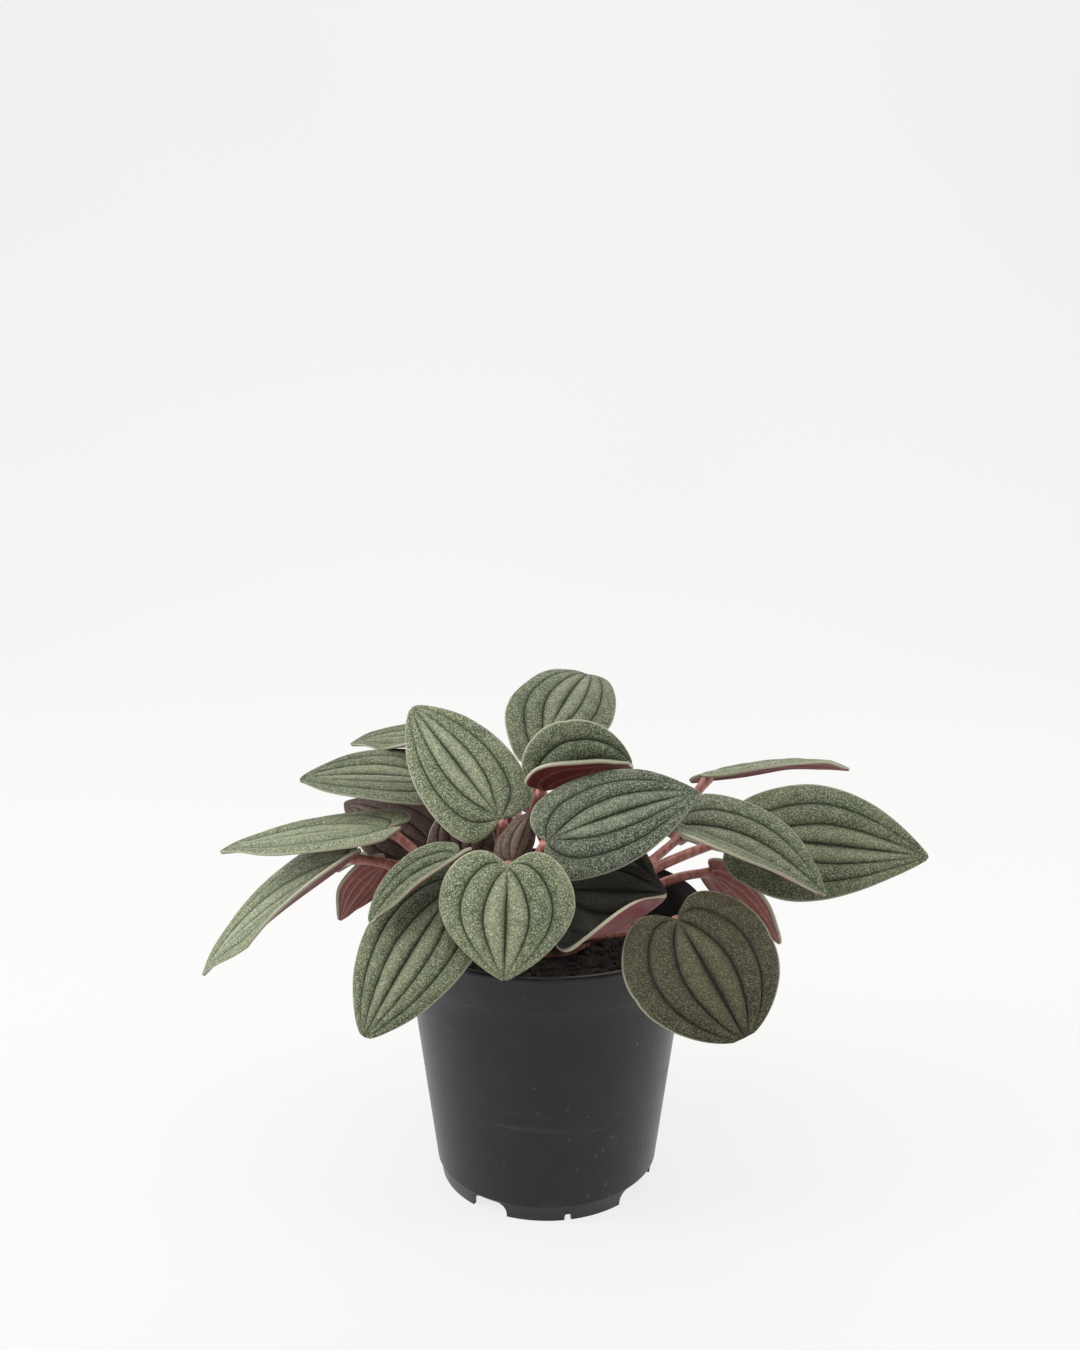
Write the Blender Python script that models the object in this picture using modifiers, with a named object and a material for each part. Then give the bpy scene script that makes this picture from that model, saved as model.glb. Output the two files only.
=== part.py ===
"""Peperomia in a thin plastic nursery pot: the pot, the soil, the crown and every leaf with its stalk.

Lengths are in millimetres in the numbers below and become metres where the meshes are made.
The pot stands on z = 0 with its axis on the origin; -y is the front of the plant.
"""
import math

import bmesh
import bpy
import numpy as np
from mathutils import Matrix, Vector

MM = 0.001

# Pot: thin moulded shell, lip at the top, a straight collar, a tapered body on a cut-away foot.
RIM_Z = 93.7
RIM_R = 50.1
LIP_DEPTH = 1.6
COLLAR_R = 47.4
STEP_Z = 78.9
STEP_R = 45.2
BODY_R = 44.0
SEAM_Z = 6.1
SEAM_R = 36.4
FOOT_R = 35.2
WALL = 1.2
FLOOR_Z = 6.4
FOOT_GAPS = ((238, 21), (330, 36), (58, 30), (148, 30), (281, 3.5), (101, 3.5))  # direction, width in degrees
FOOT_GAP_TOP = 5.0
DRAIN_HOLE_R = 4.0
DRAIN_RING_R = 20.0
DRAIN_HOLES = 6

# Soil: fills the pot to below the rim, a little lower at the wall than in the middle.
SOIL_EDGE_Z = 81.5
SOIL_MIDDLE_Z = 83.0
GAP = 0.3

# Crown: the short knot of stems all stalks grow from.
CROWN_R = 14.6
CROWN_H = 12.0
CROWN_Z = SOIL_MIDDLE_Z + GAP

# Leaves
BLADE = 1.3
STALK_R = 1.9
STALK_END_R = 1.4
ROOT_GAP = 0.4
SPINE_STEPS = 60
# Half a blade laid flat: (share of the length from the stalk joint, share of the half width)
OUTLINE = ((0, 0), (-.055, .14), (-.10, .30), (-.105, .48), (-.06, .68), (.04, .86), (.18, .97),
           (.34, 1), (.50, .92), (.66, .74), (.80, .50), (.91, .25), (.97, .09), (1, 0))
ROUND_FROM = .42

for old in list(bpy.data.objects):
    bpy.data.objects.remove(old, do_unlink=True)

plant = bpy.data.collections.new("potted_peperomia")
bpy.context.scene.collection.children.link(plant)
helpers = bpy.data.collections.new("cutters")
helpers.hide_render = True
bpy.context.scene.collection.children.link(helpers)


def material(name, colour, roughness):
    made = bpy.data.materials.new(name)
    made.use_nodes = True
    shader = made.node_tree.nodes["Principled BSDF"]
    shader.inputs["Base Color"].default_value = (*colour, 1)
    shader.inputs["Roughness"].default_value = roughness
    made.diffuse_color = (*colour, 1)
    return made


def add(name, mesh, collection=plant, look=None):
    made = bpy.data.objects.new(name, mesh)
    collection.objects.link(made)
    if look:
        mesh.materials.append(look)
    return made


def turned(name, profile, steps, look):
    """A closed profile of (radius, height) turned about the z axis."""
    mesh = bpy.data.meshes.new(name)
    points = [(r * MM, 0, z * MM) for r, z in profile]
    mesh.from_pydata(points, [(i, (i + 1) % len(points)) for i in range(len(points))], [])
    made = add(name, mesh, look=look)
    screw = made.modifiers.new("turn", "SCREW")
    screw.steps = screw.render_steps = steps
    screw.use_merge_vertices = True
    screw.merge_threshold = 0.00001
    return made


def cut(target, cutter):
    cutter.display_type = "WIRE"
    cutter.hide_render = True
    boolean = target.modifiers.new(cutter.name, "BOOLEAN")
    boolean.operation = "DIFFERENCE"
    boolean.solver = "EXACT"
    boolean.object = cutter


# Pot ------------------------------------------------------------------------------------------
pot_look = material("pot_plastic", (.035, .035, .042), .45)
floor_top = FLOOR_Z + WALL


def body_r(z):
    """Outer radius of the tapered body at a height."""
    return SEAM_R + (BODY_R - SEAM_R) * (z - SEAM_Z) / (STEP_Z - SEAM_Z)


pot = turned("pot", (
    (RIM_R - WALL, RIM_Z), (RIM_R, RIM_Z - .5), (RIM_R, RIM_Z - LIP_DEPTH), (COLLAR_R, RIM_Z - LIP_DEPTH - .5),
    (STEP_R, STEP_Z + .6), (BODY_R, STEP_Z), (SEAM_R, SEAM_Z), (FOOT_R, SEAM_Z - 1.2), (FOOT_R - .3, 0),
    (FOOT_R - .3 - WALL, 0), (FOOT_R - WALL - .6, FLOOR_Z), (0, FLOOR_Z),
    (0, floor_top), (body_r(floor_top) - WALL, floor_top), (BODY_R - WALL, STEP_Z), (STEP_R - WALL, STEP_Z + .8),
    (COLLAR_R - WALL, RIM_Z - LIP_DEPTH - .2), (COLLAR_R, RIM_Z - .2),
), 64, pot_look)

for i, (direction, width) in enumerate(FOOT_GAPS):
    mesh = bpy.data.meshes.new("foot_gap")
    box = bmesh.new()
    bmesh.ops.create_cube(box, size=1)
    across = 2 * FOOT_R * math.sin(math.radians(width / 2))
    tall = FOOT_GAP_TOP if width > 10 else 2.4
    bmesh.ops.scale(box, vec=(12 * MM, across * MM, 2 * tall * MM), verts=box.verts)
    bmesh.ops.translate(box, vec=(FOOT_R * MM, 0, 0), verts=box.verts)
    bmesh.ops.rotate(box, cent=(0, 0, 0), matrix=Matrix.Rotation(math.radians(direction), 3, "Z"),
                     verts=box.verts)
    box.to_mesh(mesh)
    box.free()
    cut(pot, add(f"foot_gap_{i}", mesh, helpers))

for i in range(DRAIN_HOLES):
    turn = 2 * math.pi * i / DRAIN_HOLES
    mesh = bpy.data.meshes.new("drain_hole")
    pin = bmesh.new()
    bmesh.ops.create_cone(pin, cap_ends=True, segments=16, radius1=DRAIN_HOLE_R * MM, radius2=DRAIN_HOLE_R * MM,
                          depth=6 * MM)
    bmesh.ops.translate(pin, verts=pin.verts, vec=(DRAIN_RING_R * MM * math.cos(turn),
                                                   DRAIN_RING_R * MM * math.sin(turn), (FLOOR_Z + .6) * MM))
    pin.to_mesh(mesh)
    pin.free()
    cut(pot, add(f"drain_hole_{i}", mesh, helpers))

# Soil -----------------------------------------------------------------------------------------
soil_look = material("soil", (.035, .024, .016), .95)
low_r = body_r(floor_top) - WALL - GAP
soil = turned("soil", (
    (0, SOIL_MIDDLE_Z), (20, SOIL_MIDDLE_Z), (36, SOIL_EDGE_Z + .6),
    (STEP_R - WALL - GAP, SOIL_EDGE_Z), (STEP_R - WALL - GAP, STEP_Z + 1.2),
    (BODY_R - WALL - GAP - .1, STEP_Z - .2), (low_r, floor_top + GAP), (0, floor_top + GAP),
), 48, soil_look)

# Crown ----------------------------------------------------------------------------------------
crown_look = material("crown", (.30, .12, .09), .7)
crown = turned("crown", [(0, CROWN_Z + CROWN_H)] + [
    (CROWN_R * math.cos(math.radians(e)), CROWN_Z + CROWN_H * math.sin(math.radians(e)))
    for e in (72, 54, 36, 18, 0)] + [(0, CROWN_Z)], 24, crown_look)

# Leaves ---------------------------------------------------------------------------------------
leaf_look = material("leaf", (.13, .19, .12), .55)


def unit(v):
    v = np.asarray(v, float)
    return v / np.linalg.norm(v)


def outline(t, lobe, rounding, wedge):
    """Half a blade's edge from the stalk joint (t = 0) to the tip (t = 1)."""
    k = np.array(OUTLINE, float)
    k[:, 0] = np.where(k[:, 0] < 0, k[:, 0] * lobe, k[:, 0])
    d = np.r_[0, np.cumsum(np.hypot(*np.diff(k, axis=0).T))]
    d /= d[-1]
    along, across = np.interp(t, d, k[:, 0]), np.interp(t, d, k[:, 1])
    full = np.sqrt(np.clip(1 - ((along - ROUND_FROM) / (1 - ROUND_FROM)) ** 2, 0, 1))
    across = np.where(along < ROUND_FROM, across, across * (1 - rounding) + full * rounding)
    return along, across * (1 - wedge * (1 - np.clip(along / .5, 0, 1)) ** 2)


def spine(bend, hook):
    """The midrib as (along, up, angle) over a unit chord, bent down towards the tip."""
    u = np.linspace(0, 1, SPINE_STEPS)
    angle = -np.radians(bend) * u - np.radians(hook) * np.clip((u - .6) / .4, 0, 1) ** 2
    x = np.r_[0, np.cumsum((np.cos(angle)[1:] + np.cos(angle)[:-1]) / 2)]
    z = np.r_[0, np.cumsum((np.sin(angle)[1:] + np.sin(angle)[:-1]) / 2)]
    chord, lean = np.hypot(x[-1], z[-1]), np.arctan2(z[-1], x[-1])
    c, s = np.cos(lean), np.sin(lean)
    return (x * c + z * s) / chord, (z * c - x * s) / chord, angle - lean


def swing(angle, rate, r):
    """Where a strip of length r ends up when it starts at an angle and turns at a steady rate."""
    rate = np.where(np.abs(rate) < 1e-6, 1e-6, rate)
    return (np.sin(angle + rate * r) - np.sin(angle)) / rate, (np.cos(angle) - np.cos(angle + rate * r)) / rate


def blade_points(t, v, base, tip, width, face, bend, hook, fold_l, fold_r, curl, lobe, rounding, wedge, twist, flap):
    """Points of a blade: t runs from the stalk joint to the tip, v from the left edge to the right edge."""
    base, tip = np.array(base, float), np.array(tip, float)
    length, chord = np.linalg.norm(tip - base), unit(tip - base)
    up = unit(np.array(face) - np.dot(face, chord) * chord)
    right = np.cross(chord, up)
    x, z, angle = spine(bend, hook)
    stations = np.linspace(0, 1, SPINE_STEPS)
    edge_a, edge_s = outline(t, lobe, rounding, wedge)
    share, side = np.abs(v), np.sign(v)
    a = (1 - share) * t ** .9 + share * edge_a
    r = share * edge_s * width / 2
    at = np.clip(a, 0, 1)
    behind = np.minimum(a, 0) * length
    along = np.interp(at, stations, x) * length + behind * np.cos(angle[0])
    rise = np.interp(at, stations, z) * length + behind * np.sin(angle[0])
    tilt = np.interp(at, stations, angle)
    fold = np.radians(np.where(side >= 0, fold_r, fold_l))
    rate = np.radians(curl) / (width / 2)
    out, lift = swing(fold, rate, r)
    if flap:
        flap_side, middle, reach, degrees, start = flap
        turn = np.clip(1 - ((t - middle) / reach) ** 2, 0, 1) * np.radians(degrees)
        turn = np.where(side == flap_side, turn, 0)
        strip = np.maximum(edge_s * width / 2, 1e-6)
        inner = np.minimum(r, start * strip)
        out0, lift0 = swing(fold, rate, inner)
        out1, lift1 = swing(fold + rate * inner, rate + turn / ((1 - start) * strip), r - inner)
        out, lift = out0 + out1, lift0 + lift1
    out = out * side
    roll = np.radians(twist) * at
    out, lift = out * np.cos(roll) - lift * np.sin(roll), out * np.sin(roll) + lift * np.cos(roll)
    along, rise = along - lift * np.sin(tilt), rise + lift * np.cos(tilt)
    return base + np.outer(along, chord) + np.outer(rise, up) + np.outer(out, right)


def leaf(name, base, tip, width, face, root, bend=20, hook=0, fold=12, fold_l=None, fold_r=None, curl=-20,
         lobe=1.0, round=0.0, wedge=0.0, twist=0, flap=None, enter=40, lift=.4, reach=.35, stalk_r=STALK_R):
    """One leaf: the blade and its stalk, grown as one piece.

    base and tip are the ends of the midrib, face the way the upper side looks, root the direction and
    the elevation on the crown that the stalk grows from.
    """
    fold_l = fold if fold_l is None else fold_l
    fold_r = fold if fold_r is None else fold_r
    mesh = bpy.data.meshes.new(name)
    grid = bmesh.new()
    bmesh.ops.create_grid(grid, x_segments=10, y_segments=6, size=.5)
    corners = np.array([vert.co[:] for vert in grid.verts])
    points = blade_points(corners[:, 0] + .5, 2 * corners[:, 1], base, tip, width, face, bend, hook, fold_l,
                          fold_r, curl, lobe, round, wedge, twist, flap)
    for vert, point in zip(grid.verts, points):
        vert.co = Vector(point) * MM
    bmesh.ops.remove_doubles(grid, verts=grid.verts, dist=0.01 * MM)
    bmesh.ops.recalc_face_normals(grid, faces=grid.faces)
    grid.to_mesh(mesh)
    grid.free()
    made = add(name, mesh, look=leaf_look)
    solid = made.modifiers.new("thickness", "SOLIDIFY")
    solid.thickness = BLADE * MM
    solid.offset = 0
    solid.use_even_offset = False

    direction, height = (math.radians(q) for q in root)
    out = np.array([math.cos(direction) * math.cos(height), math.sin(direction) * math.cos(height),
                    math.sin(height)])
    start = (np.array([0, 0, CROWN_Z]) + out * [CROWN_R, CROWN_R, CROWN_H] + out * (ROOT_GAP + .3)
             + [0, 0, stalk_r if root[1] < 20 else 0])
    base = np.array(base, float)
    chord = unit(np.array(tip) - base)
    up = unit(np.array(face) - np.dot(face, chord) * chord)
    tilt = spine(bend, hook)[2][0]
    along, above = chord * np.cos(tilt) + up * np.sin(tilt), up * np.cos(tilt) - chord * np.sin(tilt)
    enter = math.radians(enter)
    arrive = along * math.cos(enter) + above * math.sin(enter)
    far = np.linalg.norm(base - start)
    handle = start + unit(out + [0, 0, .5]) * far * lift
    last = base - arrive * far * reach

    path = bpy.data.curves.new(name + "_stalk", "CURVE")
    path.dimensions = "3D"
    path.bevel_depth = stalk_r * MM
    path.bevel_resolution = 0
    path.use_fill_caps = True
    path.resolution_u = 7
    line = path.splines.new("BEZIER")
    line.bezier_points.add(1)
    for knot, (co, left, right, radius) in zip(line.bezier_points, (
            (start, 2 * start - handle, handle, 1.0), (base, last, 2 * base - last, STALK_END_R / STALK_R))):
        knot.handle_left_type = knot.handle_right_type = "FREE"
        knot.co, knot.handle_left, knot.handle_right = (Vector(p) * MM for p in (co, left, right))
        knot.radius = radius
    stalk = bpy.data.objects.new(name + "_stalk", path)
    helpers.objects.link(stalk)
    bpy.context.view_layer.update()
    tube = bpy.data.meshes.new_from_object(stalk.evaluated_get(bpy.context.evaluated_depsgraph_get()))
    welded = bmesh.new()
    welded.from_mesh(tube)
    bmesh.ops.remove_doubles(welded, verts=welded.verts, dist=0.001 * MM)
    bmesh.ops.recalc_face_normals(welded, faces=welded.faces)
    welded.to_mesh(tube)
    welded.free()
    bpy.data.objects.remove(stalk)
    joined = add(name + "_stalk", tube, helpers)
    joined.display_type = "WIRE"
    joined.hide_render = True
    union = made.modifiers.new("stalk", "BOOLEAN")
    union.operation = "UNION"
    union.solver = "EXACT"
    union.object = joined
    return made


leaf("leaf_front_heart", (-9, -52, 129), (-10, -65, 101), 38, face=(0, -0.8, 0.6), root=(255, 8),
     bend=25, fold=4, curl=-25, lobe=1.3, enter=75)
leaf("leaf_right_round", (36, -52, 113), (53, -76, 89), 43, face=(0.1, -0.85, 0.5), root=(305, 8),
     bend=20, fold=4, curl=-20, lobe=1.3, round=0.6, enter=70)
leaf("leaf_left_hanging", (-26, -40, 118), (-50, -72, 87), 33, face=(-0.25, -0.75, 0.6), root=(232, 8),
     bend=25, fold=5, curl=-15, round=0.3, enter=50)
leaf("leaf_left_small", (-26, -36, 125), (-49, -54, 113), 22, face=(-0.1, -0.5, 0.85), root=(228, 38),
     fold_l=65, bend=20, round=0.3)
leaf("leaf_upper_left_big", (-14, -18, 130), (-40, 4, 157), 31, face=(0.1, -0.85, 0.5), root=(225, 68),
     bend=15, fold=4, curl=-20, round=0.3, lobe=0.8)
leaf("leaf_left_upper", (-32, 7, 132), (-76, 10, 132), 31, face=(0, -0.2, 1), root=(170, 38),
     bend=25, round=0.2)
leaf("leaf_left_top", (-29, 30, 139), (-63, 36, 135), 30, face=(0, 0, 1), root=(140, 38),
     bend=15, flap=(-1, 0.35, 0.3, 60, 0.5))
leaf("leaf_left_long", (-48, -10, 124), (-100, -2, 113), 31, face=(0, 0, 1), root=(210, 8),
     bend=12, flap=(-1, 0.1, 0.2, 60, 0.5))
leaf("leaf_left_drooping", (-60, -12, 115), (-111, 6, 67), 30, face=(-0.55, -0.45, 0.7), root=(188, 8),
     fold_l=30, fold_r=5, bend=25, flap=(-1, 0.25, 0.35, 90, 0.4))
leaf("leaf_left_dark", (-34, 10, 107), (-65, 28, 118), 26, face=(0.1, -0.75, 0.65), root=(198, 38),
     bend=20, curl=-30)
leaf("leaf_left_underside", (-50, -2, 109), (-64, -8, 93), 22, face=(-0.5, 0.6, 0.4), root=(166, 8),
     bend=20)
leaf("leaf_centre_narrow", (-25, -15, 115), (-27, -8, 132), 20, face=(0, -0.8, 0.5), root=(175, 68))
leaf("leaf_centre_red", (-16, -8, 116), (-19, -1, 129), 18, face=(0, 0.8, 0.5), root=(120, 68))
leaf("leaf_centre_curled", (-10, -32, 122), (-5, -24, 134), 17, face=(0.3, -0.8, 0.5), root=(256, 38),
     fold=-20, curl=-60)
leaf("leaf_top", (-3, 6, 139), (13, 42, 156), 34, face=(-0.1, -0.6, 0.75), root=(60, 68),
     bend=60, lobe=0.2, round=0.7, fold=10, wedge=0.5)
leaf("leaf_upper_right_curled", (-1, -12, 137), (25, -10, 142), 36, face=(0, -0.5, 1), root=(345, 68),
     fold_r=80, fold_l=55, lobe=1.5, twist=-10, bend=10, round=0.8)
leaf("leaf_centre_right_big", (0, -36, 130), (43, -26, 141), 36, face=(0.05, -0.65, 0.75), root=(285, 68),
     bend=35, lobe=1.2, curl=-30)
leaf("leaf_right_dark", (5, -24, 120), (32, -30, 114), 30, face=(0.1, -0.65, 0.75), root=(284, 38),
     bend=20)
leaf("leaf_right_mid", (38, -18, 128), (78, -44, 117), 34, face=(0.1, -0.6, 0.8), root=(318, 38),
     fold_r=60, bend=15, lobe=0.8)
leaf("leaf_right_far", (57, -4, 119), (110, -28, 122), 40, face=(0.1, -0.8, 0.6), root=(345, 38),
     bend=12)
leaf("leaf_right_top", (51, 16, 132), (96, 26, 130), 30, face=(0, 0.3, 0.93), root=(15, 38),
     bend=22, fold=10, curl=-30)
leaf("leaf_right_underside", (52, 8, 102), (73, -4, 83), 24, face=(0.4, 0.7, 0.6), root=(5, 8),
     bend=20)
leaf("leaf_centre_lower", (3, -38, 116), (34, -36, 114), 42, face=(0, -0.75, 0.65), root=(278, 8),
     bend=25, flap=(1, 0.8, 0.4, 160, 0.3), fold=-5)
leaf("leaf_back_right_low", (44, 30, 106), (74, 52, 84), 34, face=(0.4, 0.3, 0.8), root=(30, 8),
     bend=35)
leaf("leaf_back_right", (31, 44, 108), (48, 72, 86), 32, face=(0.2, 0.4, 0.9), root=(58, 8), bend=35)
leaf("leaf_back_middle", (0, 46, 113), (0, 77, 92), 32, face=(0, 0.5, 0.9), root=(86, 8), bend=35)
leaf("leaf_back_left", (-24, 42, 108), (-44, 70, 86), 34, face=(-0.2, 0.4, 0.9), root=(114, 8),
     bend=35)
leaf("leaf_back_left_low", (-42, 30, 102), (-72, 52, 84), 32, face=(-0.4, 0.3, 0.9), root=(141, 8),
     bend=30)
leaf("leaf_back_inner_right", (16, 28, 116), (30, 50, 112), 28, face=(0.1, 0.2, 1), root=(58, 38),
     bend=30)
leaf("leaf_back_inner_left", (-10, 30, 116), (-18, 54, 114), 28, face=(0, 0.2, 1), root=(105, 38),
     bend=30)
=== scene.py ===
"""Peperomia with ribbed grey-green leaves, growing in a thin black nursery pot."""
import math

import bmesh
import bpy
import numpy as np
from mathutils import Matrix, Vector


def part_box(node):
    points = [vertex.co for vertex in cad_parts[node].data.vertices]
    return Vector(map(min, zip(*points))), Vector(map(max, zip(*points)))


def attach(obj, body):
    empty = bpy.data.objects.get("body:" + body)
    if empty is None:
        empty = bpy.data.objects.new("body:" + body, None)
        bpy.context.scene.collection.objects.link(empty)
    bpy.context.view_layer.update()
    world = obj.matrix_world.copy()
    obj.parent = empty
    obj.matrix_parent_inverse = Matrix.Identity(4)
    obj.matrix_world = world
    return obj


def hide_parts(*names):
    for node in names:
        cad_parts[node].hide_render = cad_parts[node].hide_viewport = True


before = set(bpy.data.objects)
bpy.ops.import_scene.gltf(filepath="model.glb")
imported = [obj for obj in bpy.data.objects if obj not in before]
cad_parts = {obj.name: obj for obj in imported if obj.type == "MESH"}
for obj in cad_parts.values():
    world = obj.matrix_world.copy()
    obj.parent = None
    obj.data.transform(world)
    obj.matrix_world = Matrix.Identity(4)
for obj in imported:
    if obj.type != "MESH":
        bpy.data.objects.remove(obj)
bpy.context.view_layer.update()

MM = 0.001

# Pot ------------------------------------------------------------------------------------------
# A nursery pot in thin black polypropylene, moulded in one piece: a rolled lip, a straight collar,
# a plain tapered body and a foot ring with four wide cut-outs and two notches for the water.
pot_low, pot_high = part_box("pot")
POT_R = (pot_high[0] - pot_low[0]) / 2 / MM
POT_H = (pot_high[2] - pot_low[2]) / MM
COLLAR_R = 47.4
STEP_Z = 78.9
STEP_R = 45.2
BODY_R = 44.0
SEAM_Z = 6.1
SEAM_R = 36.4
FOOT_R = 35.2
WALL = 1.0
FLOOR_Z = 6.4
# Direction and width in degrees, the last two being notches.
FOOT_GAPS = ((238, 21), (330, 36), (58, 30), (148, 30), (281, 3.5), (101, 3.5))
FOOT_GAP_TOP = 5.0
NOTCH_TOP = 2.4
CUTTER_DEPTH = 12
PLASTIC = (.0060, .0060, .0085)


class Wire:
    """A shader socket that can be used in plain sums."""

    def __init__(self, sheet, socket):
        self.sheet, self.socket = sheet, socket

    def _maths(self, operation, *values, clamp=False):
        return self.sheet.add("Math", {"operation": operation, "use_clamp": clamp}, *values)

    def __add__(self, other):
        return self._maths("ADD", self, other)

    def __sub__(self, other):
        return self._maths("SUBTRACT", self, other)

    def __rsub__(self, other):
        return self._maths("SUBTRACT", other, self)

    def __mul__(self, other):
        return self._maths("MULTIPLY", self, other)

    def __truediv__(self, other):
        return self._maths("DIVIDE", self, other)

    def __pow__(self, other):
        return self._maths("POWER", self, other)

    __radd__, __rmul__ = __add__, __mul__

    def abs(self):
        return self._maths("ABSOLUTE", self)

    def clamped(self):
        return self._maths("ADD", self, 0, clamp=True)

    def frac(self):
        return self._maths("FRACT", self)

    def band(self, low, high):
        """0 below low, 1 above high, smooth between; low may be the larger one."""
        if low < high:
            return self.sheet.add("MapRange", {"interpolation_type": "SMOOTHSTEP"}, self, low, high, 0, 1)
        return self.sheet.add("MapRange", {"interpolation_type": "SMOOTHSTEP"}, self, high, low, 1, 0)


class Sheet:
    """One material's nodes."""

    def __init__(self, name):
        self.material = bpy.data.materials.new(name)
        self.material.use_nodes = True
        self.tree = self.material.node_tree
        self.shader = self.tree.nodes["Principled BSDF"]

    def add(self, kind, settings, *values, out=0):
        node = self.tree.nodes.new("ShaderNode" + kind)
        for name, value in settings.items():
            setattr(node, name, value)
        sockets = [s for s in node.inputs if s.enabled]
        for socket, value in zip(sockets, values):
            self.put(socket, value)
        return Wire(self, [s for s in node.outputs if s.enabled][out])

    def put(self, socket, value):
        if isinstance(value, Wire):
            self.tree.links.new(value.socket, socket)
        elif value is not None:
            if isinstance(value, tuple) and len(value) == 3 and socket.type == "RGBA":
                value = (*value, 1)
            socket.default_value = value

    def mix(self, factor, first, second):
        return self.add("Mix", {"data_type": "RGBA"}, factor, first, second)

    def noise(self, where, scale, detail=2.0, roughness=.5):
        return self.add("TexNoise", {}, where, scale, detail, roughness)

    def place(self):
        return self.add("TexCoord", {}, out=3)

    def finish(self, **inputs):
        for name, value in inputs.items():
            self.put(self.shader.inputs[name.replace("_", " ")], value)
        return self.material


def bumped(sheet, height, strength, distance):
    """A normal from a height."""
    return sheet.add("Bump", {}, strength, distance, None, height)


def show(name, mesh, node=None, slot=None, *materials):
    """A finished piece, riding on the plant."""
    made = bpy.data.objects.new(name, mesh)
    bpy.context.scene.collection.objects.link(made)
    for look in materials:
        mesh.materials.append(look)
    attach(made, "root")
    if node:
        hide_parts(node)
    return made


def turned(name, profile, steps):
    """A mesh from a closed profile of (radius, height) spun about the z axis."""
    mesh = bpy.data.meshes.new(name)
    form = bmesh.new()
    ring = [form.verts.new((r * MM, 0, z * MM)) for r, z in profile]
    for i, vert in enumerate(ring):
        form.edges.new((vert, ring[(i + 1) % len(ring)]))
    bmesh.ops.spin(form, geom=form.verts[:] + form.edges[:], cent=(0, 0, 0), axis=(0, 0, 1), dvec=(0, 0, 0),
                   angle=2 * math.pi, steps=steps, use_merge=True)
    bmesh.ops.remove_doubles(form, verts=form.verts, dist=0.002 * MM)
    bmesh.ops.recalc_face_normals(form, faces=form.faces)
    form.to_mesh(mesh)
    form.free()
    mesh.shade_smooth()
    mesh.set_sharp_from_angle(angle=math.radians(40))
    return mesh


def arc(cx, cz, r, start, end, steps):
    """Points of an arc in the (radius, height) plane, in degrees."""
    return [(cx + r * math.cos(math.radians(a)), cz + r * math.sin(math.radians(a)))
            for a in np.linspace(start, end, steps)]


floor_top = FLOOR_Z + WALL
inner_low = SEAM_R + (BODY_R - SEAM_R) * (floor_top - SEAM_Z) / (STEP_Z - SEAM_Z) - WALL
pot_profile = (
    arc(POT_R - .7, POT_H - .7, .7, 90, 0, 5)
    + [(POT_R, POT_H - 1.3)]
    + arc(POT_R - .4, POT_H - 1.4, .4, 0, -90, 4)
    + arc(COLLAR_R + .5, POT_H - 2.3, .5, 90, 180, 4)
    + [(COLLAR_R - .9, POT_H - 8)]
    + arc(STEP_R - .5, STEP_Z + .7, .5, 0, -90, 4)
    + arc(BODY_R + .25, STEP_Z - .05, .25, 90, 180, 3)
    + [(BODY_R - .6, STEP_Z - 6), ((BODY_R + SEAM_R) / 2, (STEP_Z + SEAM_Z) / 2)]
    + arc(SEAM_R - .5, SEAM_Z + .2, .5, 8, -60, 5)
    + [(FOOT_R + .15, SEAM_Z - 1.2)]
    + arc(FOOT_R - .5, .3, .3, 0, -90, 3)
    + arc(FOOT_R - .5 - WALL, .3, .3, -90, -180, 3)
    + [(FOOT_R - WALL - .8, FLOOR_Z), (0, FLOOR_Z), (0, floor_top), (inner_low - 2, floor_top),
       (inner_low, floor_top + 2), (BODY_R - WALL, STEP_Z), (STEP_R - WALL, STEP_Z + 1),
       (COLLAR_R - WALL, POT_H - 2.2)]
    + arc(POT_R - 1.4, POT_H - 1.2, 1.2, 150, 90, 4)
)
pot_mesh = turned("pot", pot_profile, 160)

plastic = Sheet("pot_plastic")
where = plastic.place()
height = plastic.add("SeparateXYZ", {}, where, out=2)
dust = plastic.noise(where, 90, 4, .6).band(.50, .80)
drops = plastic.add("TexVoronoi", {"feature": "F1"}, where, 190)
specks = drops.band(.17, .08) * plastic.noise(where, 38, 1).band(.50, .58)
rings = drops.band(.30, .24) * drops.band(.17, .22) * plastic.noise(where, 38, 1).band(.50, .58)
scuff = plastic.noise(plastic.add("VectorMath", {"operation": "MULTIPLY"}, where, (60, 60, 420)), 1, 4, .6)
scuff = scuff.band(.55, .72) * (height.band(.030, .036) * height.band(.050, .043))
film = (dust * .22 + specks * .9 + scuff * .35).clamped()
pot_look = plastic.finish(
    Base_Color=plastic.mix(film * .30, PLASTIC, (.12, .12, .14)),
    Roughness=.33 + film * .3,
    IOR=1.40,
    Normal=bumped(plastic, plastic.noise(where, 700, 3) * .4 + specks * .9 - rings * .3, .2, .0008),
)
pot = show("pot_shell", pot_mesh, "pot", "pot_plastic", pot_look)

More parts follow.
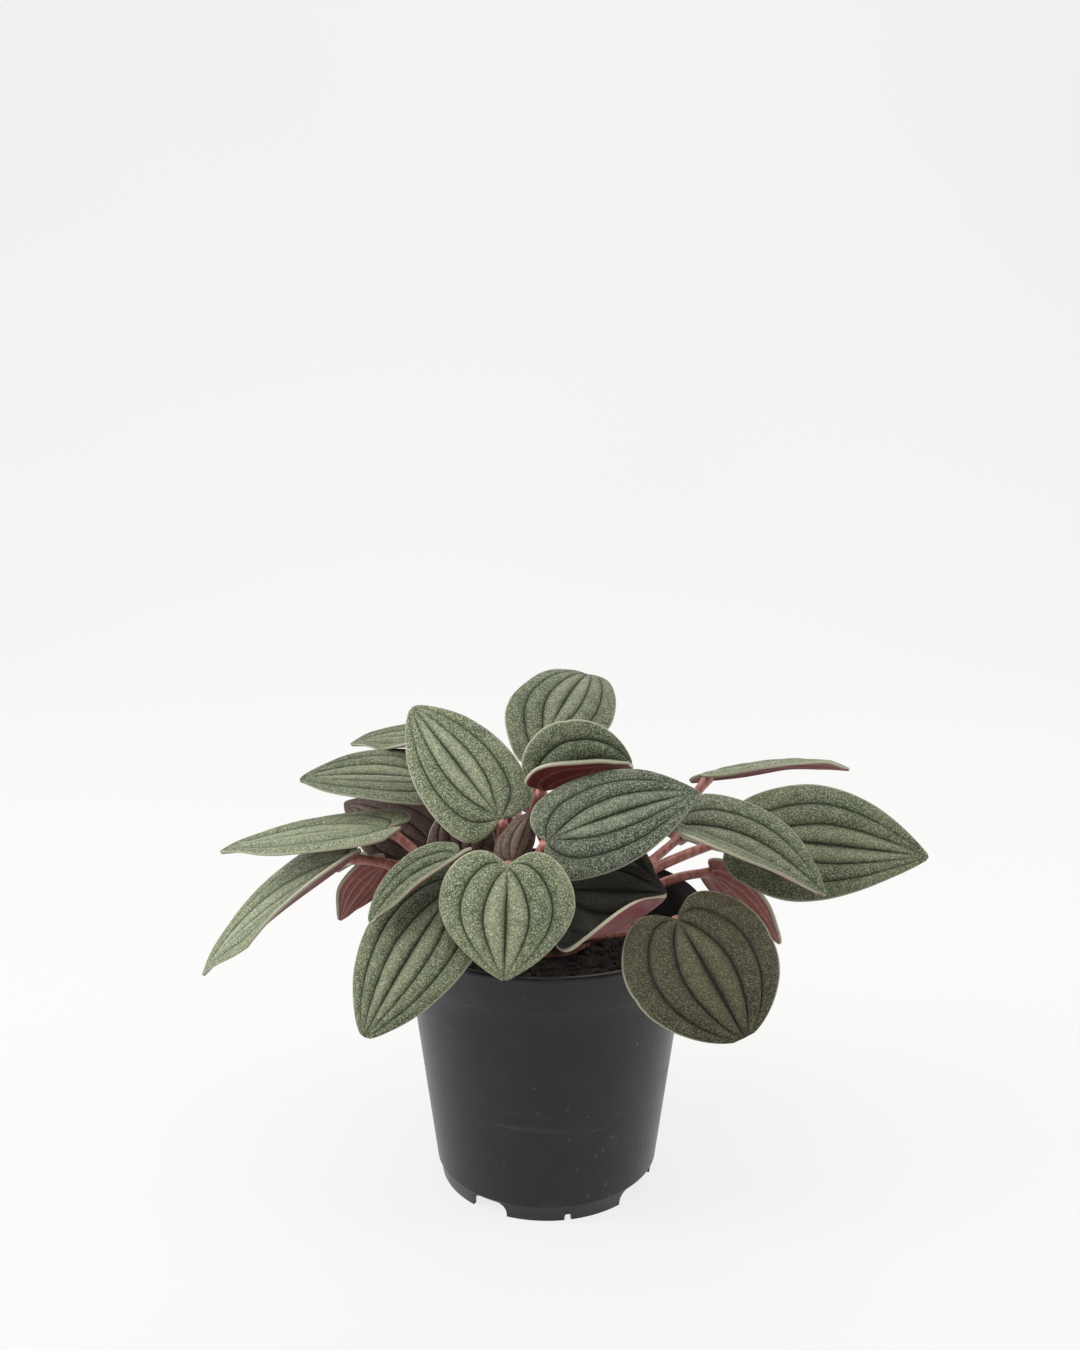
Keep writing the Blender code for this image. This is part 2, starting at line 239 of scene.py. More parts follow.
for i, (direction, width) in enumerate(FOOT_GAPS):
    tall = FOOT_GAP_TOP if width > 10 else NOTCH_TOP
    across = 2 * FOOT_R * math.sin(math.radians(width / 2))
    gap_mesh = bpy.data.meshes.new(f"foot_gap_{i}")
    gap = bmesh.new()
    bmesh.ops.create_cube(gap, size=1)
    bmesh.ops.scale(gap, vec=(CUTTER_DEPTH * MM, across * MM, 2 * tall * MM), verts=gap.verts)
    upper = [e for e in gap.edges if all(v.co.z > 0 for v in e.verts)
             and abs(e.verts[0].co.x - e.verts[1].co.x) > CUTTER_DEPTH * MM / 2]
    bmesh.ops.bevel(gap, geom=upper, offset=min(across * .35, 3.5) * MM, segments=4,
                    affect="EDGES", profile=.5, material=-1)
    bmesh.ops.translate(gap, vec=(FOOT_R * MM, 0, 0), verts=gap.verts)
    bmesh.ops.rotate(gap, cent=(0, 0, 0), verts=gap.verts,
                     matrix=Matrix.Rotation(math.radians(direction), 3, "Z"))
    gap.to_mesh(gap_mesh)
    gap.free()
    cutter = bpy.data.objects.new(f"foot_gap_{i}", gap_mesh)
    bpy.context.scene.collection.objects.link(cutter)
    cut = pot.modifiers.new("gap", "BOOLEAN")
    cut.operation, cut.solver, cut.object = "DIFFERENCE", "EXACT", cutter
    bpy.context.view_layer.objects.active = pot
    with bpy.context.temp_override(object=pot):
        bpy.ops.object.modifier_apply(modifier=cut.name)
    bpy.data.objects.remove(cutter)

# Soil -----------------------------------------------------------------------------------------
# Dark peat mix with bark crumbs, filled by hand to about a centimetre under the rim.
soil_low, soil_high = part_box("soil")
SOIL_R = (soil_high[0] - soil_low[0]) / 2 / MM
SOIL_TOP = soil_high[2] / MM
CRUMBS = 620

earth = Sheet("soil")
where = earth.place()
clods = earth.noise(where, 260, 6, .65)
soil_look = earth.finish(
    Base_Color=earth.mix(clods.band(.35, .70), (.006, .004, .003), (.045, .032, .022)),
    Roughness=.95,
    Normal=bumped(earth, clods, .9, .002),
)
soil_mesh = turned("soil", [
    (0, SOIL_TOP - .3), (20, SOIL_TOP - .3), (36, SOIL_TOP - 1.2), (SOIL_R - .2, SOIL_TOP - 2),
    (SOIL_R - 1.5, STEP_Z - .5), (inner_low - .8, floor_top + .5), (0, floor_top + .5)], 96)
show("soil_fill", soil_mesh, "soil", "soil", soil_look)

dice = np.random.default_rng(7)
crumb_mesh = bpy.data.meshes.new("crumbs")
crumbs = bmesh.new()
for i in range(CRUMBS):
    around, out = dice.uniform(0, 2 * math.pi), (SOIL_R - 1.6) * math.sqrt(dice.uniform(.08, 1))
    size = dice.uniform(.5, 1.5)
    made = bmesh.ops.create_icosphere(crumbs, subdivisions=1, radius=size * MM)["verts"]
    for vert in made:
        vert.co *= dice.uniform(.7, 1.2)
    bmesh.ops.scale(crumbs, vec=dice.uniform(.6, 1.3, 3), verts=made)
    bmesh.ops.translate(crumbs, verts=made, vec=(
        out * math.cos(around) * MM, out * math.sin(around) * MM,
        (SOIL_TOP - .3 - 1.6 * (out / SOIL_R) ** 2 + size * .3) * MM))
crumbs.to_mesh(crumb_mesh)
crumbs.free()
show("soil_crumbs", crumb_mesh, None, "soil", soil_look)

# Crown ----------------------------------------------------------------------------------------
# The short knot of stems in the middle of the pot that every stalk grows from.
crown_low, crown_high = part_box("crown")
CROWN_Z = crown_low[2] / MM
CROWN_H = (crown_high[2] - crown_low[2]) / MM
CROWN_R = (crown_high[0] - crown_low[0]) / 2 / MM
flesh = Sheet("crown")
where = flesh.place()
crown_look = flesh.finish(
    Base_Color=flesh.mix(flesh.noise(where, 300, 4).band(.35, .65), (.10, .035, .025), (.22, .09, .06)),
    Roughness=.6,
    Normal=bumped(flesh, flesh.noise(where, 400, 4), .6, .001),
)
dome = [(CROWN_R * math.cos(a), CROWN_Z + CROWN_H * math.sin(a)) for a in np.radians(range(80, -1, -10))]
crown_mesh = turned("crown", [(0, CROWN_Z + CROWN_H), *dome, (0, CROWN_Z)], 48)
show("crown_knot", crown_mesh, "crown", "stalk", crown_look)

# Leaves ---------------------------------------------------------------------------------------
# Each leaf is a thick blade on a round salmon stalk that joins it at the notch. Five main veins
# run from the joint to the tip, sunk between puffed ribs, and the underside is wine red.
BLADE = 1.0
STALK_R = 1.9
STALK_END_R = 1.4
SPINE_STEPS = 60
OUTLINE = ((0, 0), (-.055, .14), (-.10, .30), (-.105, .48), (-.06, .68), (.04, .86), (.18, .97),
           (.34, 1), (.50, .92), (.66, .74), (.80, .50), (.91, .25), (.97, .09), (1, 0))
ROUND_FROM = .42
VEINS = 3          # main veins on each side of the blade, the midrib counted as half
RIB_RISE = 0.75
GROOVE = 0.35
NUDGE = 0.004      # how far a blade is probed to find which way its surface looks
BLADE_STEPS = (60, 54)
STALK_STEPS = (36, 14)
COLLAR_SWELL = 0.45   # how much a stalk thickens where it meets its blade


def unit(v):
    v = np.asarray(v, float)
    return v / np.linalg.norm(v)


def smooth_through(t, d, k):
    """A smooth curve through the points k at stations d."""
    slope = np.gradient(k, d)
    i = np.clip(np.searchsorted(d, t, side="right") - 1, 0, len(d) - 2)
    step = d[i + 1] - d[i]
    u = (t - d[i]) / step
    return ((2 * u ** 3 - 3 * u ** 2 + 1) * k[i] + (u ** 3 - 2 * u ** 2 + u) * step * slope[i]
            + (3 * u ** 2 - 2 * u ** 3) * k[i + 1] + (u ** 3 - u ** 2) * step * slope[i + 1])


def outline(t, lobe, rounding, wedge):
    """Half a blade's edge from the stalk joint (t = 0) to the tip (t = 1)."""
    k = np.array(OUTLINE, float)
    k[:, 0] = np.where(k[:, 0] < 0, k[:, 0] * lobe, k[:, 0])
    d = np.r_[0, np.cumsum(np.hypot(*np.diff(k, axis=0).T))]
    d /= d[-1]
    along, across = smooth_through(t, d, k[:, 0]), np.maximum(smooth_through(t, d, k[:, 1]), 0)
    full = np.sqrt(np.clip(1 - ((along - ROUND_FROM) / (1 - ROUND_FROM)) ** 2, 0, 1))
    across = np.where(along < ROUND_FROM, across, across * (1 - rounding) + full * rounding)
    return along, across * (1 - wedge * (1 - np.clip(along / .5, 0, 1)) ** 2)


def spine(bend, hook):
    """The midrib as (along, up, angle) over a unit chord, bent down towards the tip."""
    u = np.linspace(0, 1, SPINE_STEPS)
    angle = -np.radians(bend) * u - np.radians(hook) * np.clip((u - .6) / .4, 0, 1) ** 2
    x = np.r_[0, np.cumsum((np.cos(angle)[1:] + np.cos(angle)[:-1]) / 2)]
    z = np.r_[0, np.cumsum((np.sin(angle)[1:] + np.sin(angle)[:-1]) / 2)]
    chord, lean = np.hypot(x[-1], z[-1]), np.arctan2(z[-1], x[-1])
    c, s = np.cos(lean), np.sin(lean)
    return (x * c + z * s) / chord, (z * c - x * s) / chord, angle - lean


def swing(angle, rate, r):
    """Where a strip of length r ends up when it starts at an angle and turns at a steady rate."""
    rate = np.where(np.abs(rate) < 1e-6, 1e-6, rate)
    end = angle + rate * r
    return (np.sin(end) - np.sin(angle)) / rate, (np.cos(angle) - np.cos(end)) / rate


def blade_points(t, v, base, tip, width, face, bend, hook, fold_l, fold_r, curl, lobe, rounding, wedge,
                 twist, flap):
    """Points of a blade: t runs from the stalk joint to the tip, v from the left edge to the right."""
    base, tip = np.array(base, float), np.array(tip, float)
    length, chord = np.linalg.norm(tip - base), unit(tip - base)
    up = unit(np.array(face) - np.dot(face, chord) * chord)
    right = np.cross(chord, up)
    x, z, angle = spine(bend, hook)
    stations = np.linspace(0, 1, SPINE_STEPS)
    edge_a, edge_s = outline(t, lobe, rounding, wedge)
    share, side = np.abs(v), np.sign(v)
    a = (1 - share) * t ** .9 + share * edge_a
    r = share * edge_s * width / 2
    at = np.clip(a, 0, 1)
    behind = np.minimum(a, 0) * length
    along = np.interp(at, stations, x) * length + behind * np.cos(angle[0])
    rise = np.interp(at, stations, z) * length + behind * np.sin(angle[0])
    tilt = np.interp(at, stations, angle)
    fold = np.radians(np.where(side >= 0, fold_r, fold_l))
    rate = np.radians(curl) / (width / 2)
    out, lift = swing(fold, rate, r)
    if flap:
        flap_side, middle, reach, degrees, start = flap
        turn = np.clip(1 - ((t - middle) / reach) ** 2, 0, 1) * np.radians(degrees)
        turn = np.where(side == flap_side, turn, 0)
        strip = np.maximum(edge_s * width / 2, 1e-6)
        inner = np.minimum(r, start * strip)
        out0, lift0 = swing(fold, rate, inner)
        out1, lift1 = swing(fold + rate * inner, rate + turn / ((1 - start) * strip), r - inner)
        out, lift = out0 + out1, lift0 + lift1
    out = out * side
    roll = np.radians(twist) * at
    out, lift = out * np.cos(roll) - lift * np.sin(roll), out * np.sin(roll) + lift * np.cos(roll)
    along, rise = along - lift * np.sin(tilt), rise + lift * np.cos(tilt)
    return base + np.outer(along, chord) + np.outer(rise, up) + np.outer(out, right)


def vein_masks(sheet, width):
    """(t, v, main veins, side veins) on a blade's own map, with v counted out from the midrib."""
    chart = sheet.add("UVMap", {"uv_map": "blade"})
    t, v = (sheet.add("SeparateXYZ", {}, chart, out=i) for i in range(2))
    v = (v * 2 - 1).abs()
    slim = (t * (1 - t) * 4).clamped() ** .5 + .10
    lane = (v * VEINS).frac()
    lane = (.5 - (lane - .5).abs()) / VEINS
    last = v.band(.82, .80)
    main = (lane * slim).band(width, 0) * last
    mid = (v * slim).band(width * 1.3, 0)
    wander = sheet.noise(sheet.place(), 70, 2) * 2.2
    lane_side = ((t * 8 - v * 2.6 + wander).frac() - .5).abs()
    side = lane_side.band(.10, .02) * v.band(1, .75) * t.band(.02, .12)
    side = side * sheet.noise(sheet.place(), 110, 1).band(.40, .60)
    return t, v, (main + mid).clamped(), side


def blade_look(name, light, dark, silver, vein, speckle=.5):
    """The upper side: matt green with a fine silver speckle, dark in the vein grooves."""
    sheet = Sheet(name)
    where = sheet.place()
    t, v, main, side = vein_masks(sheet, .042)
    halo = vein_masks(sheet, .12)[2]
    broad = sheet.noise(where, 55, 3).band(.35, .65)
    grain = sheet.noise(where, 2300, 2, .7).band(.48, .60)
    patch = sheet.noise(where, 300, 4, .6).band(.35, .68)
    wash = (v.band(.02, .09) * v.band(.34, .22) * t.band(.04, .2) * t.band(1, .75)).clamped()
    ground = sheet.mix(broad * .35 + patch * .25 + wash * .25, dark, light)
    ground = sheet.mix(halo * .6, ground, dark)
    shine = (grain * speckle + wash * .12 + patch * .04).clamped()
    colour = sheet.mix(shine * (1 - main * .8) * (1 - halo * .4), ground, silver)
    colour = sheet.mix(side * .22, colour, vein)
    colour = sheet.mix(main * .7, colour, vein)
    colour = sheet.mix(v.band(.965, .995) * .6, colour, (.42, .42, .30))
    joint = (t + v * .25).band(.075, .015)
    colour = sheet.mix(joint, colour, (.42, .22, .06))
    height = grain * .25 + patch * .25 - side * .35 - main * .5
    return sheet.finish(Base_Color=colour, Roughness=.58 - shine * .14, Specular_IOR_Level=.32,
                        Normal=bumped(sheet, height, .6, .0006))


def under_look(name, flesh, pale):
    """The underside: wine red, with the veins standing out paler."""
    sheet = Sheet(name)
    where = sheet.place()
    t, v, main, side = vein_masks(sheet, .034)
    blotch = sheet.noise(where, 160, 4, .6).band(.3, .7)
    colour = sheet.mix(blotch * .5, flesh, tuple(c * 1.5 for c in flesh))
    colour = sheet.mix((main * .6 + side * .30).clamped(), colour, pale)
    return sheet.finish(Base_Color=colour, Roughness=.5,
                        Normal=bumped(sheet, main * .6 + side * .4 + blotch * .1, .5, .0005))


SAGE = blade_look("blade_sage", light=(.150, .168, .080), dark=(.048, .064, .026),
                  silver=(.50, .54, .38), vein=(.013, .018, .007), speckle=.55)
GREEN = blade_look("blade_green", light=(.092, .108, .045), dark=(.027, .037, .014),
                   silver=(.38, .41, .28), vein=(.009, .012, .005))
DEEP = blade_look("blade_deep", light=(.070, .082, .040), dark=(.018, .025, .011),
                  silver=(.38, .42, .31), vein=(.006, .008, .004))
# Very dark olive bronze, also used as painted shade for the low right leaf that lies in shadow.
BRONZE_AND_SHADE = blade_look("blade_bronze_and_shade", light=(.036, .030, .011), dark=(.012, .010, .004),
                    silver=(.17, .16, .08), vein=(.004, .0035, .0015))
SHADE = blade_look("blade_shade", light=(.020, .019, .012), dark=(.007, .007, .004),
                   silver=(.055, .055, .040), vein=(.003, .003, .002))
# Greyish dark brown: partly the young leaves' own colour, partly painted shade for leaves that lie in
# shadow.
BROWN_AND_SHADE = blade_look("blade_brown_and_shade", light=(.100, .062, .042), dark=(.040, .022, .015),
                   silver=(.24, .18, .14), vein=(.014, .007, .005), speckle=.4)
WINE = under_look("underside_wine", flesh=(.110, .019, .018), pale=(.27, .095, .080))
PINK = under_look("underside_pink", flesh=(.230, .082, .068), pale=(.50, .27, .24))

edge_sheet = Sheet("blade_edge")
EDGE = edge_sheet.finish(Base_Color=(.36, .33, .24), Roughness=.55)

stem = Sheet("stalk")
where = stem.place()
streak = stem.noise(stem.add("VectorMath", {"operation": "MULTIPLY"}, where, (700, 700, 160)), 1, 3)
STALK = stem.finish(
    Base_Color=stem.mix(streak.band(.35, .65), (.235, .078, .058), (.40, .170, .135)),
    Roughness=.42,
    Normal=bumped(stem, streak, .25, .0004),
)


def leaf(name, base, tip, width, face, root, bend=20, hook=0, fold=12, fold_l=None, fold_r=None, curl=-20,
         lobe=1.0, round=0.0, wedge=0.0, twist=0, flap=None, enter=40, lift=.4, reach=.35, stalk_r=STALK_R,
         top=SAGE, under=WINE, rib=RIB_RISE, wave=.5):
    """One leaf: base and tip are the ends of the midrib, face the way its upper side looks."""
    fold_l = fold if fold_l is None else fold_l
    fold_r = fold if fold_r is None else fold_r
    form = bmesh.new()
    form.loops.layers.uv.new("blade")
    bmesh.ops.create_grid(form, x_segments=BLADE_STEPS[0], y_segments=BLADE_STEPS[1], size=.5, calc_uvs=True)
    corners = np.array([vert.co[:] for vert in form.verts])
    t, v = corners[:, 0] + .5, -2 * corners[:, 1]
    shape = (base, tip, width, face, bend, hook, fold_l, fold_r, curl, lobe, round, wedge, twist, flap)
    points = blade_points(t, v, *shape)
    inner_t, inner_v = np.clip(t, .01, .99), np.clip(v, -.98, .98)
    inner_v = np.where(np.abs(inner_v) < .006, .006, inner_v)
    run = (blade_points(inner_t + NUDGE, inner_v, *shape)
           - blade_points(inner_t - NUDGE, inner_v, *shape))
    across = (blade_points(inner_t, inner_v + NUDGE, *shape)
              - blade_points(inner_t, inner_v - NUDGE, *shape))
    normal = np.cross(across, run)
    normal /= np.maximum(np.linalg.norm(normal, axis=1), 1e-9)[:, None]

    share = np.abs(v)
    lane = share * VEINS
    seed = sum(ord(letter) for letter in name)
    hump = np.sin(np.pi * np.mod(lane, 1))
    puff = hump ** 1.1 * np.where(lane > 2, .5, 1)
    fade = np.clip(4 * t * (1 - t), 0, 1) ** .7
    cross_rib = .10 * np.sin(2 * np.pi * (t * 8 - share * 2.6 + np.sin(seed + v * 5))) * hump
    groove = np.exp(-(np.mod(lane + .5, 1) - .5) ** 2 / .004)
    ripple = wave * (np.sin(t * 9 + seed) * share ** 3 + .4 * np.sin(t * 21 + v * 2 + seed) * share ** 2)
    rise = fade * (rib * (puff + cross_rib - .5) - GROOVE * groove) * (width / 34) + ripple * fade
    points = points + normal * rise[:, None]
    for vert, point in zip(form.verts, points):
        vert.co = Vector(point) * MM
    bmesh.ops.remove_doubles(form, verts=form.verts, dist=0.004 * MM)
    mesh = bpy.data.meshes.new(name + "_blade")
    form.to_mesh(mesh)
    form.free()
    mesh.shade_smooth()
    blade = show(name + "_blade", mesh, "leaf_" + name, "leaf", top, under, EDGE)
    solid = blade.modifiers.new("thickness", "SOLIDIFY")
    solid.thickness = BLADE * MM
    solid.offset = 0
    solid.material_offset = 1
    solid.material_offset_rim = 2

    direction, height = (math.radians(q) for q in root)
    out = np.array([math.cos(direction) * math.cos(height), math.sin(direction) * math.cos(height),
                    math.sin(height)])
    start = (np.array([0, 0, CROWN_Z]) + out * [CROWN_R, CROWN_R, CROWN_H] - out * 2
             + [0, 0, stalk_r if root[1] < 20 else 0])
    base = np.array(base, float)
    chord = unit(np.array(tip) - base)
    up = unit(np.array(face) - np.dot(face, chord) * chord)
    tilt = spine(bend, hook)[2][0]
    along, above = chord * np.cos(tilt) + up * np.sin(tilt), up * np.cos(tilt) - chord * np.sin(tilt)
    arrive = along * math.cos(math.radians(enter)) + above * math.sin(math.radians(enter))
    far = np.linalg.norm(base - start)
    handle = start + unit(out + [0, 0, .5]) * far * lift
    last = base - arrive * far * reach
    form = bmesh.new()
    bmesh.ops.create_grid(form, x_segments=STALK_STEPS[0], y_segments=STALK_STEPS[1], size=.5)
    corners = np.array([vert.co[:] for vert in form.verts])
    u, turn = (corners[:, 0] + .5)[:, None], corners[:, 1] * 2 * np.pi
    line = ((1 - u) ** 3 * start + 3 * (1 - u) ** 2 * u * handle
            + 3 * (1 - u) * u ** 2 * last + u ** 3 * base)
    heading = (3 * (1 - u) ** 2 * (handle - start) + 6 * (1 - u) * u * (last - handle)
               + 3 * u ** 2 * (base - last))
    heading /= np.linalg.norm(heading, axis=1)[:, None]
    side_way = np.cross(heading, unit(np.cross(arrive, [.3, .2, 1]) + [.001, 0, 0]))
    side_way /= np.linalg.norm(side_way, axis=1)[:, None]
    other_way = np.cross(heading, side_way)
    u = u[:, 0]
    thick = (stalk_r + (STALK_END_R * stalk_r / STALK_R - stalk_r) * u)
    thick = thick * (1 + COLLAR_SWELL * np.exp(-((1 - u) / .05) ** 2))
    thick = thick * np.where(u > .999, .55, 1)
    ring = np.cos(turn)[:, None] * side_way + np.sin(turn)[:, None] * other_way
    points = line + thick[:, None] * ring
    for vert, point in zip(form.verts, points):
        vert.co = Vector(point) * MM
    bmesh.ops.remove_doubles(form, verts=form.verts, dist=0.004 * MM)
    bmesh.ops.holes_fill(form, edges=[e for e in form.edges if e.is_boundary])
    bmesh.ops.recalc_face_normals(form, faces=form.faces)
    mesh = bpy.data.meshes.new(name + "_stalk")
    form.to_mesh(mesh)
    form.free()
    mesh.shade_smooth()
    show(name + "_stalk", mesh, None, "stalk", STALK)

# Front leaves ---------------------------------------------------------------------------------
# The low leaves that lie over the rim and face the viewer: a heart-shaped one in the middle,
# a long one hanging at the left, a round bronze one at the right and a dark one in the shade.
leaf("front_heart", (-11, -52, 129), (-12, -65, 101), 38, face=(0, -0.8, 0.6), root=(255, 8),
     top=SAGE, under=WINE, bend=25, fold=4, curl=-25, lobe=1.3, enter=75)
leaf("left_hanging", (-26, -40, 118), (-50, -72, 87), 33, face=(-0.25, -0.75, 0.6), root=(232, 8),
     top=GREEN, under=WINE, bend=25, fold=5, curl=-15, round=0.3, enter=50)
leaf("left_small", (-26, -36, 125), (-49, -54, 113), 19, face=(-0.1, -0.5, 0.85), root=(228, 38),
     top=GREEN, under=WINE, fold_l=65, bend=20, round=0.3)
leaf("right_round", (36, -52, 113), (53, -76, 89), 43, face=(0.1, -0.85, 0.5), root=(305, 8),
     top=BRONZE_AND_SHADE, under=WINE, bend=20, fold=4, curl=-20, lobe=1.3, round=0.6, enter=70)
leaf("centre_lower", (3, -38, 116), (34, -36, 114), 42, face=(0, -0.75, 0.65), root=(278, 8),
     top=SHADE, under=WINE, bend=25, flap=(1, 0.75, 0.45, 210, 0.3), fold=-5)

# Left leaves ----------------------------------------------------------------------------------
# Long blades spreading to the left on arching stalks, two of them seen almost edge on and
# one rolled so that its wine-red underside shows.
leaf("left_upper", (-32, 7, 132), (-76, 10, 132), 31, face=(0, -0.2, 1), root=(170, 38),
     top=GREEN, under=WINE, bend=25, round=0.2)
leaf("left_top", (-29, 30, 139), (-63, 36, 135), 30, face=(0, 0, 1), root=(140, 38),
     top=GREEN, under=WINE, bend=15, flap=(-1, 0.35, 0.3, 60, 0.5))
leaf("left_long", (-48, -10, 124), (-100, -2, 113), 31, face=(0, 0, 1), root=(210, 8),
     top=SAGE, under=WINE, bend=12, flap=(-1, 0.1, 0.2, 60, 0.5))
leaf("left_drooping", (-60, -12, 115), (-111, 6, 67), 30, face=(-0.55, -0.45, 0.7), root=(188, 8),
     top=SAGE, under=WINE, fold_l=30, fold_r=5, bend=25, flap=(-1, 0.25, 0.35, 90, 0.4))
# This leaf's greyish brown is painted shade: the leaf lies in shadow.
leaf("left_dark", (-34, 10, 107), (-65, 28, 118), 26, face=(0.1, -0.75, 0.65), root=(198, 38),
     top=BROWN_AND_SHADE, under=WINE, bend=20, curl=-30)
leaf("left_underside", (-50, -2, 109), (-64, -8, 93), 22, face=(-0.5, 0.6, 0.4), root=(166, 8),
     top=BROWN_AND_SHADE, under=PINK, bend=20)

# Middle leaves --------------------------------------------------------------------------------
# One large upright blade and three young ones packed round the crown, still narrow; their dark brown is
# partly their own colour and partly painted shade.
leaf("upper_left_big", (-14, -18, 130), (-40, 4, 157), 30, face=(0.1, -0.85, 0.5), root=(225, 68),
     top=SAGE, under=WINE, bend=15, fold=4, curl=-20, round=0.3, lobe=0.35)
leaf("centre_narrow", (-25, -15, 115), (-27, -8, 132), 20, face=(0, -0.8, 0.5), root=(175, 68),
     top=BROWN_AND_SHADE, under=WINE)
leaf("centre_red", (-16, -8, 116), (-19, -1, 129), 18, face=(0, 0.8, 0.5), root=(120, 68),
     top=BROWN_AND_SHADE, under=WINE)
leaf("centre_curled", (-10, -32, 122), (-5, -24, 134), 17, face=(0.3, -0.8, 0.5), root=(256, 38),
     top=BROWN_AND_SHADE, under=WINE, fold=-20, curl=-60)

# Top leaves -----------------------------------------------------------------------------------
# The highest blades: one standing up with its tip turned over, one curled like a cup and a
# broad dark one in front of them.
leaf("top", (-3, 6, 139), (13, 42, 156), 34, face=(-0.1, -0.6, 0.75), root=(60, 68),
     top=GREEN, under=WINE, bend=60, lobe=0.2, round=0.7, fold=10, wedge=0.5)
leaf("upper_right_curled", (-1, -12, 137), (25, -10, 142), 36, face=(0, -0.5, 1), root=(345, 68),
     top=GREEN, under=WINE, fold_r=80, fold_l=55, lobe=1.5, twist=-10, bend=10, round=0.8)
leaf("centre_right_big", (0, -36, 130), (43, -26, 141), 31, face=(0.05, -0.65, 0.75), root=(285, 68),
     top=DEEP, under=WINE, bend=35, lobe=0.5, curl=-30)

# Right leaves ---------------------------------------------------------------------------------
# Blades reaching out to the right in layers, the lowest one hanging with its pink underside out.
# Its very dark colour is painted shade: this leaf lies in shadow under the blades above it.
leaf("right_dark", (5, -24, 120), (32, -30, 114), 30, face=(0.1, -0.65, 0.75), root=(284, 38),
     top=BRONZE_AND_SHADE, under=WINE, bend=20)
leaf("right_mid", (38, -18, 128), (78, -44, 117), 34, face=(0.1, -0.6, 0.8), root=(318, 38),
     top=GREEN, under=PINK, fold_r=60, bend=15, lobe=0.8)
leaf("right_far", (57, -4, 119), (110, -28, 122), 38, face=(0.1, -0.8, 0.6), root=(345, 38),
     top=GREEN, under=WINE, bend=12, lobe=0.3, wedge=0.25)
leaf("right_top", (51, 16, 132), (96, 26, 130), 30, face=(0, 0.42, 0.9), root=(15, 38),
     top=SAGE, under=WINE, bend=22, fold=10, curl=-30)
leaf("right_underside", (52, 8, 102), (73, -4, 83), 24, face=(0.4, 0.7, 0.6), root=(5, 8),
     top=GREEN, under=PINK, bend=20)

# Back leaves ----------------------------------------------------------------------------------
# The far side of the plant, guessed as a ring of plain leaves that hang over the rim.
leaf("back_right_low", (44, 30, 106), (74, 52, 84), 34, face=(0.4, 0.3, 0.8), root=(30, 8),
     top=GREEN, under=WINE, bend=35)
leaf("back_right", (31, 44, 108), (48, 72, 86), 32, face=(0.2, 0.4, 0.9), root=(58, 8),
     top=GREEN, under=WINE, bend=35)
leaf("back_middle", (0, 46, 113), (0, 77, 92), 32, face=(0, 0.5, 0.9), root=(86, 8),
     top=GREEN, under=WINE, bend=35)
leaf("back_left", (-24, 42, 108), (-44, 70, 86), 34, face=(-0.2, 0.4, 0.9), root=(114, 8),
     top=GREEN, under=WINE, bend=35)
leaf("back_left_low", (-42, 30, 102), (-72, 52, 84), 32, face=(-0.4, 0.3, 0.9), root=(141, 8),
     top=GREEN, under=WINE, bend=30)
leaf("back_inner_right", (16, 28, 116), (30, 50, 112), 28, face=(0.1, 0.2, 1), root=(58, 38),
     top=GREEN, under=WINE, bend=30)
leaf("back_inner_left", (-10, 30, 116), (-18, 54, 114), 28, face=(0, 0.2, 1), root=(105, 38),
     top=GREEN, under=WINE, bend=30)

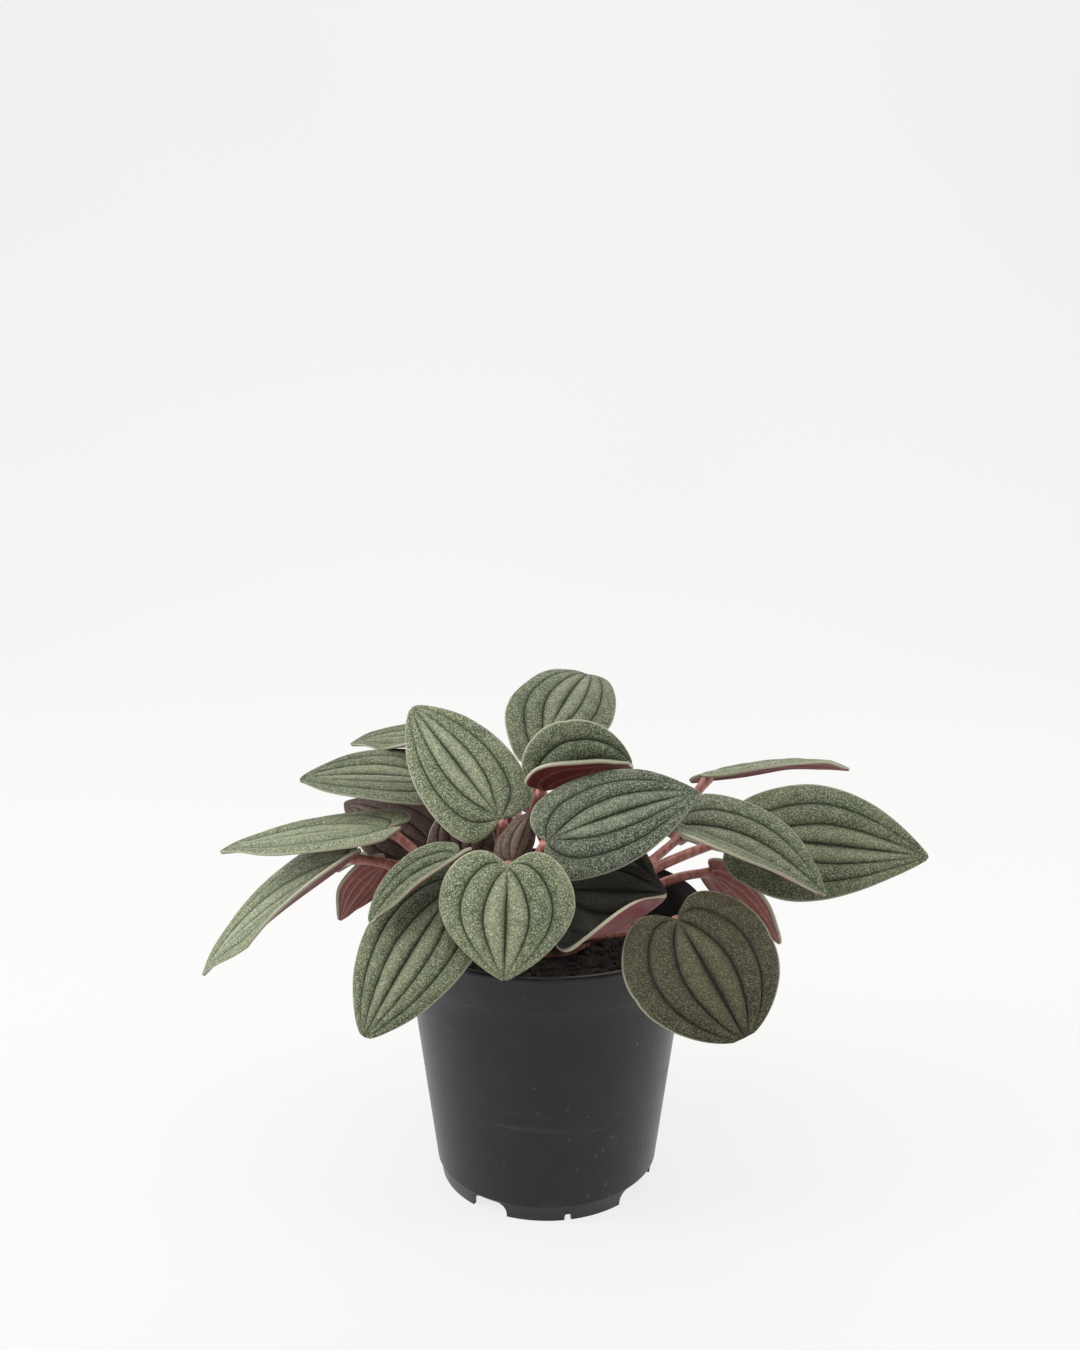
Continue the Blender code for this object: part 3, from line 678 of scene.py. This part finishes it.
# Floor and light ------------------------------------------------------------------------------
# A pale sheet that sweeps up behind the plant, under broad soft light, with a tall panel at each
# side and a low one behind for the rim.
SWEEP_START = .6
SWEEP_R = .8
floor_mesh = bpy.data.meshes.new("floor")
form = bmesh.new()
bmesh.ops.create_grid(form, x_segments=2, y_segments=60, size=3)
for vert in form.verts:
    past = vert.co.y - SWEEP_START
    if past > 0:
        turn = min(past / SWEEP_R, math.pi / 2)
        vert.co.y = SWEEP_START + SWEEP_R * math.sin(turn)
        vert.co.z = SWEEP_R * (1 - math.cos(turn)) + max(past - SWEEP_R * math.pi / 2, 0)
form.to_mesh(floor_mesh)
form.free()
floor_mesh.shade_smooth()
floor = bpy.data.objects.new("floor", floor_mesh)
bpy.context.scene.collection.objects.link(floor)
table = Sheet("floor")
# Faint darker blotches in the sheet's glow are painted soft shadows of leaves on the backdrop.
painted_shadow_blotches = table.noise(table.place(), 1.6, 1).band(.48, .72)
floor_mesh.materials.append(table.finish(
    Base_Color=(.10, .10, .10), Roughness=1.0, Specular_IOR_Level=0.0,
    Emission_Color=table.mix(painted_shadow_blotches * .10, (1, .995, .985), (.80, .78, .76)), Emission_Strength=.80))

world = bpy.data.worlds.new("room")
world.use_nodes = True
world.node_tree.nodes["Background"].inputs["Color"].default_value = (.93, .93, .93, 1)
world.node_tree.nodes["Background"].inputs["Strength"].default_value = .55
bpy.context.scene.world = world


def panel(name, place, target, size, power, colour=(1, 1, 1)):
    lamp = bpy.data.lights.new(name, "AREA")
    lamp.shape, lamp.size, lamp.size_y = "RECTANGLE", size[0], size[1]
    lamp.energy, lamp.color = power, colour
    made = bpy.data.objects.new(name, lamp)
    made.location = place
    made.rotation_euler = (Vector(target) - Vector(place)).to_track_quat("-Z", "Y").to_euler()
    bpy.context.scene.collection.objects.link(made)


centre = (0, 0, .1)
panel("overhead", (-.15, -.25, 1.1), centre, (.9, .9), 7.0)
panel("left_window", (-.75, -.10, .25), centre, (.35, .9), 8.5)
panel("right_window", (.80, -.05, .25), centre, (.30, .9), 5.5)
panel("back_top", (.10, .60, .75), centre, (.8, .3), 2.5)

CAMERA_PITCH = 25.5
camera_data = bpy.data.cameras.new("camera")
camera_data.sensor_fit = "VERTICAL"
camera_data.sensor_height = 36
camera_data.lens = 42.05
camera_data.shift_y = .2007
camera_data.clip_end = 50
camera = bpy.data.objects.new("camera", camera_data)
camera.location = (-.0022, -.450, .295)
camera.rotation_euler = (math.radians(90 - CAMERA_PITCH), 0, 0)
bpy.context.scene.collection.objects.link(camera)
bpy.context.scene.camera = camera
bpy.context.scene.view_settings.view_transform = "Standard"
